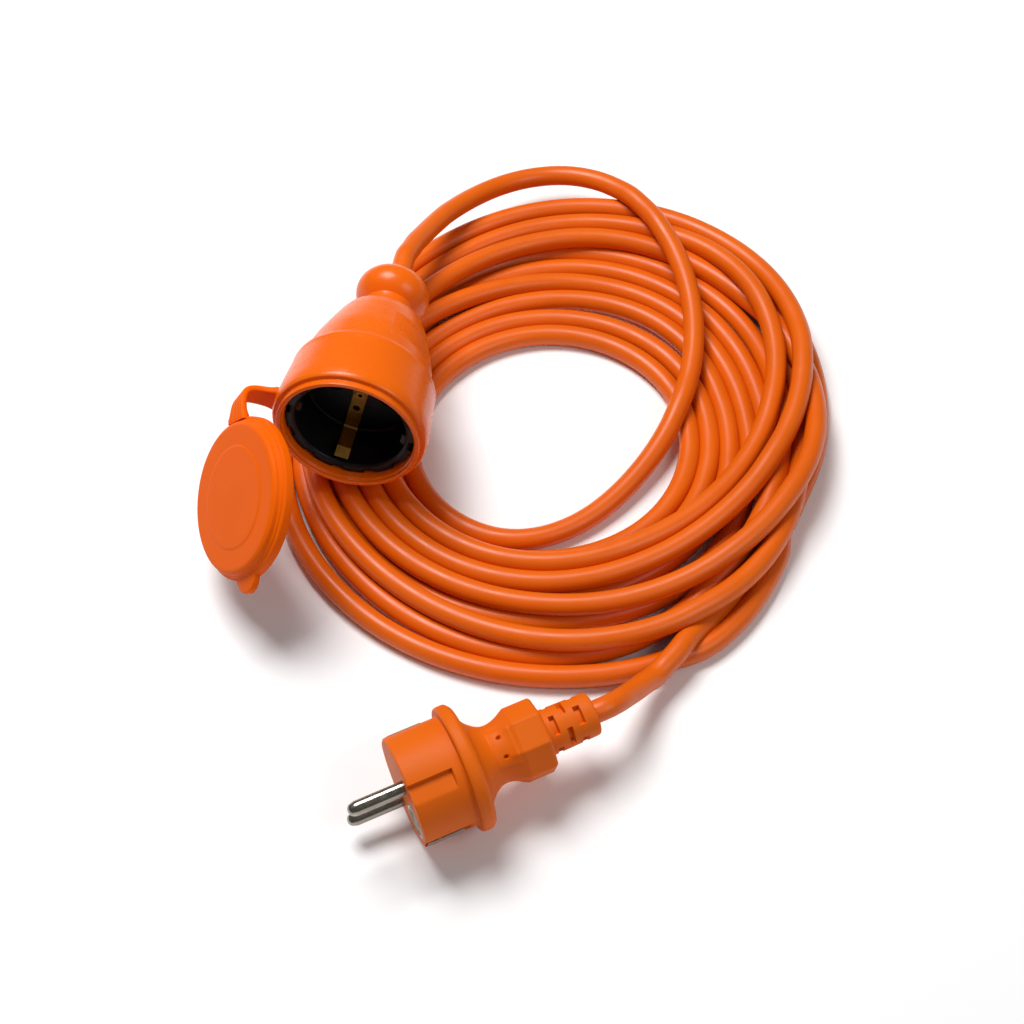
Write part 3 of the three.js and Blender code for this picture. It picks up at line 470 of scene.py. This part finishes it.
def near_pairs(points, reach):
    """Pairs of points nearer than reach that aren't next to each other on the cord."""
    square = (points ** 2).sum(1)
    gap = square[:, None] + square[None, :] - 2 * points @ points.T
    i, j = np.nonzero(gap < reach * reach)
    keep = j - i > NEXT_ON_CORD
    return i[keep], j[keep]


def stiffness(points, stride, amount):
    """How far to move each point so that the points stride apart along the cord follow
    one smooth curve: minus some of their fourth difference."""
    move = np.zeros_like(points)
    s = stride
    move[2 * s:-2 * s] = -amount * (
        points[:-4 * s] - 4 * points[s:-3 * s] + 6 * points[2 * s:-2 * s]
        - 4 * points[3 * s:-s] + points[4 * s:])
    return move


def settled(points, held, steps):
    """The cord laid down under its own weight: in each step every free point falls a
    little, is drawn towards its place on the route seen from above, follows its
    neighbours as a stiff cord must, moves away from each stretch that it overlaps, and
    stays off the floor."""
    goal = points.copy()
    free = ~held[:, None]
    count = len(points)
    for step in range(steps):
        if step % 10 == 0:
            i, j = near_pairs(points, CORD_D + 5)
        pull = HOME_SHARE * (goal - points)
        pull[:, 2] = -FALL
        points = points + free * pull
        for stride, amount in BENDING:
            points = points + free * stiffness(points, stride, amount)
        apart = points[i] - points[j]
        distance = np.linalg.norm(apart, axis=1)
        touch = distance < CORD_D
        ti, tj = i[touch], j[touch]
        overlap = CORD_D / np.maximum(distance[touch], 1e-6) - 1
        shift = apart[touch] * (OVERLAP_SHARE * overlap)[:, None]
        moves = np.stack([np.bincount(ti, part, count) - np.bincount(tj, part, count)
                          for part in shift.T], -1)
        contacts = np.bincount(ti, minlength=count) + np.bincount(tj, minlength=count)
        points = points + free * moves / np.sqrt(np.maximum(1, contacts))[:, None]
        points[:, 2] = np.maximum(points[:, 2], CORD_R)
    return points


def cord_line():
    """The whole cord, from the coupling's knob to the plug's boot."""
    straight_out = np.array([[0, 0, COUPLING_REAR - s] for s in (0.0, 8.0, 16.0)])
    straight_in = np.array([[0, 0, PLUG_REAR - s] for s in (6.0, 0.0)])
    lead = np.concatenate([moved(COUPLING, straight_out), np.array(COUPLING_LEAD)])
    tail = np.concatenate([np.array(PLUG_LEAD)[::-1], moved(PLUG, straight_in)])
    line = resampled(through(np.concatenate([lead, coil_line(), tail])), ROUTE_STEP)
    held = np.zeros(len(line), bool)
    held[:HELD_AT_COUPLING] = True
    held[-HELD_AT_PLUG:] = True
    return settled(line, held, FULL_STEPS)


CORD_LINE = cord_line()


def tube(line, radius, sides):
    """A tube round a line that is never upright: at each point a ring at right angles to
    it, which starts from its level side."""
    tangent = np.gradient(line, axis=0)
    tangent /= np.linalg.norm(tangent, axis=1, keepdims=True)
    side = np.cross(tangent, np.array([0.0, 0.0, 1.0]))
    side /= np.linalg.norm(side, axis=1, keepdims=True)
    over = np.cross(side, tangent)
    a = np.linspace(0, 2 * math.pi, sides, endpoint=False)[None, :, None]
    return line[:, None] + radius * (np.cos(a) * side[:, None] + np.sin(a) * over[:, None])


def add_cord():
    """The cord is one tube along the settled line, drawn finer, with a map for its die
    lines: u along it and v round it, in metres."""
    line = resampled(through(CORD_LINE, 3), TUBE_STEP)
    points, faces = closed_grid(tube(line, CORD_R, CORD_SIDES))
    piece = add_mesh("cord", points, faces, sheath_orange)
    mesh = piece.data
    corner = np.empty(len(mesh.loops), int)
    mesh.loops.foreach_get("vertex_index", corner)
    column = (corner % CORD_SIDES).reshape(-1, 4)
    seam = (column == 0) & (column.max(1, keepdims=True) == CORD_SIDES - 1)
    around = np.where(seam, CORD_SIDES, column).ravel() / CORD_SIDES * math.pi * CORD_D * MM
    along = TUBE_STEP * MM * np.minimum(corner // CORD_SIDES, len(line) - 1)
    layer = mesh.uv_layers.new(name="cord_map")
    layer.data.foreach_set("uv", np.stack([along, around], -1).ravel())
    return piece, line


cord, cord_path = add_cord()


# ------------------------------------------------------------------ stage
def add_stage():
    """A pale floor, and soft light from large lamps over it."""
    size = 6000.0
    corners = np.array([[-size, -size, 0], [size, -size, 0], [size, size, 0], [-size, size, 0]])
    material, _, bsdf = new_material("pale_floor", Roughness=0.9)
    bsdf.inputs["Base Color"].default_value = linear("#F8F8F8")
    mesh = bpy.data.meshes.new("floor")
    mesh.from_pydata((corners * MM).tolist(), [], [[0, 1, 2, 3]])
    mesh.materials.append(material)
    floor = bpy.data.objects.new("floor", mesh)
    bpy.context.scene.collection.objects.link(floor)
    world = bpy.data.worlds.new("studio")
    world.use_nodes = True
    background = world.node_tree.nodes["Background"]
    background.inputs["Color"].default_value = (1, 1, 1, 1)
    background.inputs["Strength"].default_value = 0.14
    bpy.context.scene.world = world
    for name, at, size_mm, watts in (
        ("key_softbox", (-250, 350, 1000), 520, 13.0),
        ("fill_softbox", (700, -400, 800), 500, 2.6),
    ):
        data = bpy.data.lights.new(name, "AREA")
        data.energy = watts
        data.size = size_mm * MM
        lamp = bpy.data.objects.new(name, data)
        lamp.location = Vector(at) * MM
        lamp.rotation_euler = (LOOK_AT - Vector(at)).to_track_quat("-Z", "Y").to_euler()
        bpy.context.scene.collection.objects.link(lamp)
    bpy.context.scene.view_settings.view_transform = "Standard"


add_stage()

# ------------------------------------------------------------------ coupling
CAVITY_R = 23.0
CAVITY_FLOOR = -24.0
LIP_R = 25.2
KNOB_R = 13.5
KNOB_MIDDLE = -70.8
KNOB_HALF_LENGTH = 9.8
BORE_R = 4.1
GRIP_FRONT = -32.5
GROOVES = 9
GROOVE_STEP = 1.5
GROOVE_DEPTH = 0.35


def grip_grooves(r, z, a):
    """Nine shallow grooves across the grip on two patches, one towards the top and one
    opposite: a cosine along the length, faded in at the patches' edges."""
    rear = GRIP_FRONT - GROOVES * GROOVE_STEP
    patch = sum(smoothstep(np.cos(a - math.radians(middle)), math.cos(math.radians(26)),
                           math.cos(math.radians(18))) for middle in (232, 52))
    along = (smoothstep(z, rear - 0.2, rear + 0.4)
             * (1 - smoothstep(z, GRIP_FRONT - 0.3, GRIP_FRONT + 0.3)))
    outside = r > 17
    wave = 0.5 - 0.5 * np.cos(2 * math.pi * (z - rear) / GROOVE_STEP)
    return -GROOVE_DEPTH * patch * along * outside * wave


def add_coupling_shell():
    """A surface of revolution round the coupling's axis, as one closed loop: the stepped
    lip, the swelling bell, the crease at the grip, the tapering grip, the neck and the
    round knob, then back up inside, behind the insert."""
    bell = through(np.array([[27.3, -3.6], [27.45, -6.0], [27.1, -10.5], [26.5, -17.0],
                             [25.95, -22.5], [25.9, -24.4], [25.6, -25.4]]), 6)
    grip = through(np.array([[24.0, -26.9], [23.0, -31.5], [21.7, -37.0], [20.1, -42.0],
                             [18.2, -47.5], [16.3, -52.5], [14.6, -55.6], [12.0, -57.7],
                             [10.2, -58.8], [9.3, -60.0], [9.0, -61.2], [9.1, -62.6]]), 5)
    a = np.radians(np.linspace(46, -72, 34))
    knob = np.stack([KNOB_R * np.cos(a), KNOB_MIDDLE + KNOB_HALF_LENGTH * np.sin(a)], -1)
    lip = rounded([(CAVITY_R, CAVITY_FLOOR), (CAVITY_R, -1.7, 0.3), (23.6, -1.2, 0.3),
                   (23.6, -0.2, 0.3), (24.1, 0.0, 0.3), (LIP_R, 0.0, 0.5), (LIP_R, -2.4, 0.25),
                   (26.7, -2.4, 0.4), (27.3, -3.6)])
    crease = [[25.3, -26.1], [24.6, -26.5]]
    inside = np.array([[BORE_R, -74.0], [BORE_R, -58.0], [18.0, -40.0], [22.0, -25.0]])
    line = np.concatenate([refined(lip, 1.5), refined(bell[1:], 0.5), crease,
                           refined(grip, 0.25), knob, refined(inside, 3)])
    grid = lathe(line, 192, grip_grooves)
    faces = grid_faces(*grid.shape[:2], round_rows=True)
    points = moved(COUPLING, grid.reshape(-1, 3))
    return add_mesh("coupling_shell", points, faces, shell_orange, 30)


WELL_R = 19.5
WELL_FLOOR = -21.5
INSERT_TOP = -4.0
INSERT_R = 22.7
INSERT_REAR = -24.0
RIB_HALF_WIDTH = 2.5
RIB_HEIGHT = 1.6
NOTCHES = 12
NOTCH_DEPTH = 1.3
PIN_OFFSET = 9.5
PIN_HOLE_R = 2.8
PIN_HOLE_DEPTH = 6.0


def add_insert():
    """The socket insert: a floor with two pin holes, the well's wall with its two guide
    ribs, and a rim with twelve notches. The floor is pressed down inside each hole's
    circle, and the ribs and notches change the radius."""
    line = np.concatenate([
        refined(np.array([[0.05, WELL_FLOOR], [WELL_R - 0.4, WELL_FLOOR]]), 0.3),
        refined(rounded([(WELL_R, WELL_FLOOR + 0.4), (WELL_R, INSERT_TOP - 0.9, 0.3),
                         (WELL_R + 0.9, INSERT_TOP, 0.3), (INSERT_R, INSERT_TOP, 0.3),
                         (INSERT_R, INSERT_REAR)]), 0.8),
        [[0.05, INSERT_REAR - 7.0]]])

    def relief(r, z, a):
        wall = (np.abs(r - WELL_R) < 0.5) & (z > WELL_FLOOR + 0.1) & (z < INSERT_TOP - 2)
        rib = wall & (np.abs(r * np.sin(a)) < RIB_HALF_WIDTH)
        notch = (r > 21.5) & (z > INSERT_TOP - 2.4) & (np.cos(NOTCHES * a) > 0.55)
        return -RIB_HEIGHT * rib - NOTCH_DEPTH * notch

    grid = lathe(line, 240, relief)
    floor = np.abs(grid[..., 2] - WELL_FLOOR) < 0.01
    for side in (-1, 1):
        hole = np.hypot(grid[..., 0] - side * PIN_OFFSET, grid[..., 1]) < PIN_HOLE_R
        grid[..., 2] -= PIN_HOLE_DEPTH * (hole & floor)
    points, faces = closed_grid(grid)
    return add_mesh("socket_well", moved(INSIDES, points), faces, black_polyamide, 30)


# ------------------------------------------------------------------ lid and strap
SKIRT = -2.1
LID_TOP = SKIRT + 6.6
LID_RIM_R = 28.0
TAB_R = 5.75
TAB_OUT = 26.95


def tab_outline(r, z, a):
    """The finger tab: the rim's flange grows to a round tongue opposite the strap, whose
    edge is a circle round a point TAB_OUT from the lid's middle, faired into the rim."""
    turn = a - math.pi
    sine = np.sin(turn) * TAB_OUT
    tongue = TAB_OUT * np.cos(turn) + np.sqrt(np.maximum(0, TAB_R ** 2 - sine ** 2)) - LID_RIM_R
    fair = 1 - smoothstep(np.abs(turn), math.radians(9.5), math.radians(17))
    flange = (r > 27.3) & (z > SKIRT + 1.0) & (z < SKIRT + 4.0)
    return np.maximum(tongue, 0) * fair * flange


def add_lid():
    """A surface of revolution, one closed loop: the ceiling inside, the sealing ring and
    the skirt, two steps outside, the flat top with rounded edge, and a low round field
    in its middle. The tab grows out of the lower step."""
    line = refined(rounded([
        (0.05, LID_TOP - 2), (20.5, LID_TOP - 2, 0.5), (20.5, -1.6, 0.3), (21.3, -1.6, 0.3),
        (22.4, 0.3, 0.2), (25.7, 0.3, 0.2), (26.9, SKIRT, 0.2), (LID_RIM_R - 0.1, SKIRT, 0.3),
        (LID_RIM_R, SKIRT + 1.1, 0.2), (LID_RIM_R, SKIRT + 3.2, 0.5), (27.0, SKIRT + 3.5, 0.2),
        (26.9, SKIRT + 4.1, 0.2), (26.3, SKIRT + 4.4, 0.25), (26.1, LID_TOP - 0.9, 0.4),
        (25.0, LID_TOP, 0.8), (17.9, LID_TOP + 0.05, 0.3), (17.3, LID_TOP + 0.32, 0.3),
        (0.05, LID_TOP + 0.4)]), 0.9)
    points, faces = closed_grid(lathe(line, 240, tab_outline))
    return add_mesh("lid_cap", moved(LID, points), faces, lid_orange, 30)


STRAP_HALF_WIDTH = 4.3
STRAP_HALF_THICK = 1.2
STRAP_REACH = 10.5
STRAP_AT_BELL = (27.7, 0.0, -9.0)
STRAP_AT_LID = (28.3, 0.0, 1.2)


def add_strap():
    """A moulded strap along one arch, a cubic Bezier curve from the bell to the open lid.
    Its section has round edges and three grooves along one face, and it widens a
    little where it grows out of each end."""
    swing = np.array(SWING)
    root, lid_edge = np.array(STRAP_AT_BELL), np.array(STRAP_AT_LID)
    tip = moved(swing, lid_edge)
    tip_out = moved(swing, lid_edge + [1, 0, 0]) - tip
    tip_across = moved(swing, lid_edge + [0, 1, 0]) - tip
    p0, p1, p2, p3 = root, root + [STRAP_REACH, 0, 0], tip + STRAP_REACH * tip_out, tip
    t = np.linspace(0, 1, 72)[:, None]
    arch = ((1 - t) ** 3 * p0 + 3 * t * (1 - t) ** 2 * p1 + 3 * t ** 2 * (1 - t) * p2 + t ** 3 * p3)
    arch = np.concatenate([[root - [1.6, 0, 0]], arch, [tip - 1.4 * tip_out]])
    t = np.concatenate([[[0]], t, [[1]]])
    along = np.gradient(arch, axis=0)
    along /= np.linalg.norm(along, axis=1, keepdims=True)
    across = (1 - t) * np.array([0.0, 1.0, 0.0]) + t * tip_across
    across -= (across * along).sum(1, keepdims=True) * along
    across /= np.linalg.norm(across, axis=1, keepdims=True)
    normal = np.cross(along, across)
    u = np.linspace(-1, 1, 41)
    edge = np.minimum(1, (1 - np.abs(u)) * STRAP_HALF_WIDTH / 0.9)
    half = STRAP_HALF_THICK * np.sqrt(1 - (1 - edge) ** 2)
    grooves = 0.22 * (np.cos(2 * math.pi * u * 2.2) > 0.55) * (np.abs(u) < 0.85)
    top = np.stack([STRAP_HALF_WIDTH * u, -half + grooves], -1)
    bottom = np.stack([STRAP_HALF_WIDTH * u[::-1], half[::-1]], -1)
    section = np.concatenate([top, bottom[1:-1]])
    flare = 1 + 0.25 * np.exp(-np.minimum(t, 1 - t) / 0.06)
    grid = (arch[:, None] + section[None, :, :1] * across[:, None] * flare[:, None]
            + section[None, :, 1:] * normal[:, None] * flare[:, None])
    points, faces = closed_grid(grid)
    piece = add_mesh("lid_strap", moved(COUPLING, points), faces, lid_orange, 50)
    ends = moved(COUPLING, np.stack([root, tip])) * MM
    return piece, ends


# ------------------------------------------------------------------ plug
NOSE_R = 18.4
GUIDE_WALL = 1.7             # from the pins' plane, on the earth hole's side
GUIDE_FLAT = 16.85           # from the plug's middle
GUIDE_END = -14.6
CLIP_HALF_WIDTH = 3.55
CLIP_FLAT = 17.0             # from the plug's middle
CLIP_END = -15.6
EARTH_OUT = 9.6
EARTH_HOLE_R = 5.4
SLOT_ROWS = 3
FIRST_SLOT = -51.9
SLOT_STEP = 4.4
SLOT_HALF_LENGTH = 0.8
SLOT_DEPTH = 1.8
PAD_MIDDLE = 178.0           # degrees round the waist
PAD_HEIGHT = 0.35


def nose_relief(r, z, a):
    """Cuts in the nose. A guide groove on each side is a flat that starts at a wall a
    little off the pins' plane and ends where it leaves the round. Two earth clips have
    their beds, flats too, on the earth hole's side and opposite."""
    x, y = np.cos(a), np.sin(a)
    nose = (r > NOSE_R - 0.6) & (r < NOSE_R + 0.1) & (z > -18)
    out = np.zeros_like(r)
    side = np.abs(x)
    flat = GUIDE_FLAT / (side + 0.02 * y)
    in_flat = nose & (y * r > GUIDE_WALL) & (flat < r) & (z > GUIDE_END) & (side > 0.7)
    out = np.where(in_flat, flat - r, out)
    bed = nose & (np.abs(x * r) < CLIP_HALF_WIDTH) & (z > CLIP_END)
    return np.where(bed, CLIP_FLAT / np.maximum(np.abs(y), 0.5) - r, out)


def octagon(a, apothem, round_off):
    """Radius of an eight-sided prism with flats that far from the middle, its corners
    rounded off towards a circle."""
    wedge = (a + math.pi / 8) % (math.pi / 4) - math.pi / 8
    return np.minimum(apothem / np.cos(wedge), apothem * round_off)


def handle_relief(r, z, a):
    """The waist is round and the handle eight-sided, with one turning into the other
    between 33 and 38.5 mm behind the face. The boot has three rows of four slots, each
    row turned by half a step."""
    eight = smoothstep(-z, 33.0, 38.5) * (z > -48.7) * (r > 8.2)
    out = eight * (octagon(a, 1.0, 1.075) - 1) * r
    for row in range(SLOT_ROWS):
        at = FIRST_SLOT - SLOT_STEP * row
        turn = (a - (row % 2) * math.pi / 4 + math.pi / 4) % (math.pi / 2) - math.pi / 4
        near = np.abs(z - at) < SLOT_HALF_LENGTH
        slot = near & (np.abs(turn) < math.radians(25)) & (r > 6.6)
        out = out - SLOT_DEPTH * slot
    return out


def pad_relief(r, z, a):
    """The grip pad on the waist: a raised field between 30 and 37.5 mm behind the face,
    with two small round holes in it."""
    turn = (a - math.radians(PAD_MIDDLE) + math.pi) % (2 * math.pi) - math.pi
    pad = (smoothstep(-z, 29.8, 30.4) * smoothstep(z, -37.6, -37.0)
           * (1 - smoothstep(np.abs(turn), math.radians(34), math.radians(38))))
    out = PAD_HEIGHT * pad
    for middle in (-18.5, 18.5):
        away = np.hypot(z + 33.4, (turn - math.radians(middle)) * 10.5)
        out = out - 1.3 * (1 - smoothstep(away, 0.5, 0.8))
    return out


def plug_relief(r, z, a):
    """All that departs from the plug's surface of revolution."""
    return nose_relief(r, z, a) + handle_relief(r, z, a) + pad_relief(r, z, a) * (r > 8.5)


def plug_rows():
    """The plug's outline from the middle of its face back to the boot's end."""
    waist = through(np.array([[19.8, -23.5], [17.2, -23.9], [14.2, -25.2], [11.9, -27.3],
                              [10.3, -29.8], [9.9, -32.0], [10.3, -34.6], [11.2, -37.2],
                              [12.0, -39.0]]), 10)
    front = rounded([(0.05, 0), (NOSE_R, 0, 0.7), (NOSE_R, -18.5, 0.5), (20.7, -18.5, 0.6),
                     (21.2, -19.4, 0.5), (21.2, -22.3, 0.7), (19.8, -23.5)])
    rear = rounded([(12.0, -39.0), (12.0, -47.9, 0.5), (11.2, -48.6, 0.3), (7.7, -48.9, 0.5),
                    (7.35, -64.9, 0.3), (7.2, -66.4, 1.0), (4.2, -66.6, 0.2), (4.0, -66.0)])
    line = np.concatenate([refined(front, 0.5), refined(waist[1:], 0.5), refined(rear, 0.4)[1:]])
    return np.concatenate([line, [[4.0, -64.0], [0.05, -64.0]]])


def add_plug_shell():
    """A surface of revolution with the cuts above, and its face pressed in behind the
    earth ring."""
    grid = lathe(plug_rows(), 264, plug_relief)
    face = np.abs(grid[..., 2]) < 0.01
    earth_hole = face & (np.hypot(grid[..., 0], grid[..., 1] - EARTH_OUT) < EARTH_HOLE_R)
    grid[..., 2] -= 11.0 * earth_hole
    points, faces = closed_grid(grid)
    return add_mesh("plug_shell", moved(PLUG, points), faces, plug_orange, 28)


def add_pin(name, x):
    """A solid round pin, 4.8 mm thick and 19 mm long, with a domed tip."""
    line = refined(rounded([(0.05, -12), (2.4, -12), (2.4, 16.4, 0.6), (1.75, 18.4, 0.9),
                            (0.7, 19.0, 0.5), (0.05, 19.0)], 6), 1.5)
    points, faces = closed_grid(lathe(line, 40))
    return add_mesh(name, moved(PLUG, points + [x, 0, 0]), faces, nickel_plate, 40)


def add_earth_ring():
    """The ring round the earth hole and the sleeve behind it, as one closed loop."""
    line = refined(rounded([(2.5, -12.5), (2.5, -0.9, 0.2), (3.5, -0.45, 0.3), (5.3, 0.3, 0.4),
                            (6.2, 0.1, 0.2), (6.2, -1.2), (3.3, -1.2), (3.3, -12.5)]), 1.0)
    grid = lathe(line, 64)
    faces = grid_faces(*grid.shape[:2], round_rows=True)
    points = moved(PLUG, grid.reshape(-1, 3) + [0, EARTH_OUT, 0])
    return add_mesh("earth_ring", points, faces, nickel_plate, 35)


# ------------------------------------------------------------------ assembly
shell = add_coupling_shell()
well = add_insert()
lid_cap = add_lid()
strap, strap_ends = add_strap()
plug_shell = add_plug_shell()
live_pin = add_pin("live_pin", -PIN_OFFSET)
neutral_pin = add_pin("neutral_pin", PIN_OFFSET)
earth_ring = add_earth_ring()

FIXED, SWINGING = "cord_set", "lid"
for piece, body, slot, nodes in (
    (cord, FIXED, "sheath", ("cord_coil", "coupling_lead", "plug_lead")),
    (shell, FIXED, "moulding", ("coupling_body",)),
    (well, FIXED, "insert", ("socket_insert",)),
    (lid_cap, SWINGING, "moulding", ("flap_lid",)),
    (plug_shell, FIXED, "moulding", ("plug_body",)),
    (live_pin, FIXED, "nickel", ("plug_live_pin",)),
    (neutral_pin, FIXED, "nickel", ("plug_neutral_pin",)),
    (earth_ring, FIXED, "nickel", ("earth_receptacle",)),
):
    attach(piece, body)
    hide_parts(*nodes)
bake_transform(strap)
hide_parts("strap_bell_half", "strap_lid_half")

# The CAD nodes that stay, with the finish of the real piece.
KEPT = {
    black_polyamide: ("contact_cover",),
    grey_polyamide: ("pin_bridge",),
    stamped_brass: ("earth_strip", "earth_rivet", "socket_live_contact", "socket_neutral_contact",
                    "socket_live_ferrule", "socket_neutral_ferrule", "socket_earth_ferrule"),
    nickel_plate: ("earth_side_clips",),
    sheath_orange: ("socket_sheath_end", "plug_sheath_end"),
    brown_core: ("socket_live_core", "plug_live_core"),
    blue_core: ("socket_neutral_core", "plug_neutral_core"),
    earth_core: ("socket_earth_core", "plug_earth_core"),
}
for material, nodes in KEPT.items():
    for node in nodes:
        bpy.data.objects[node].material_slots[0].material = material
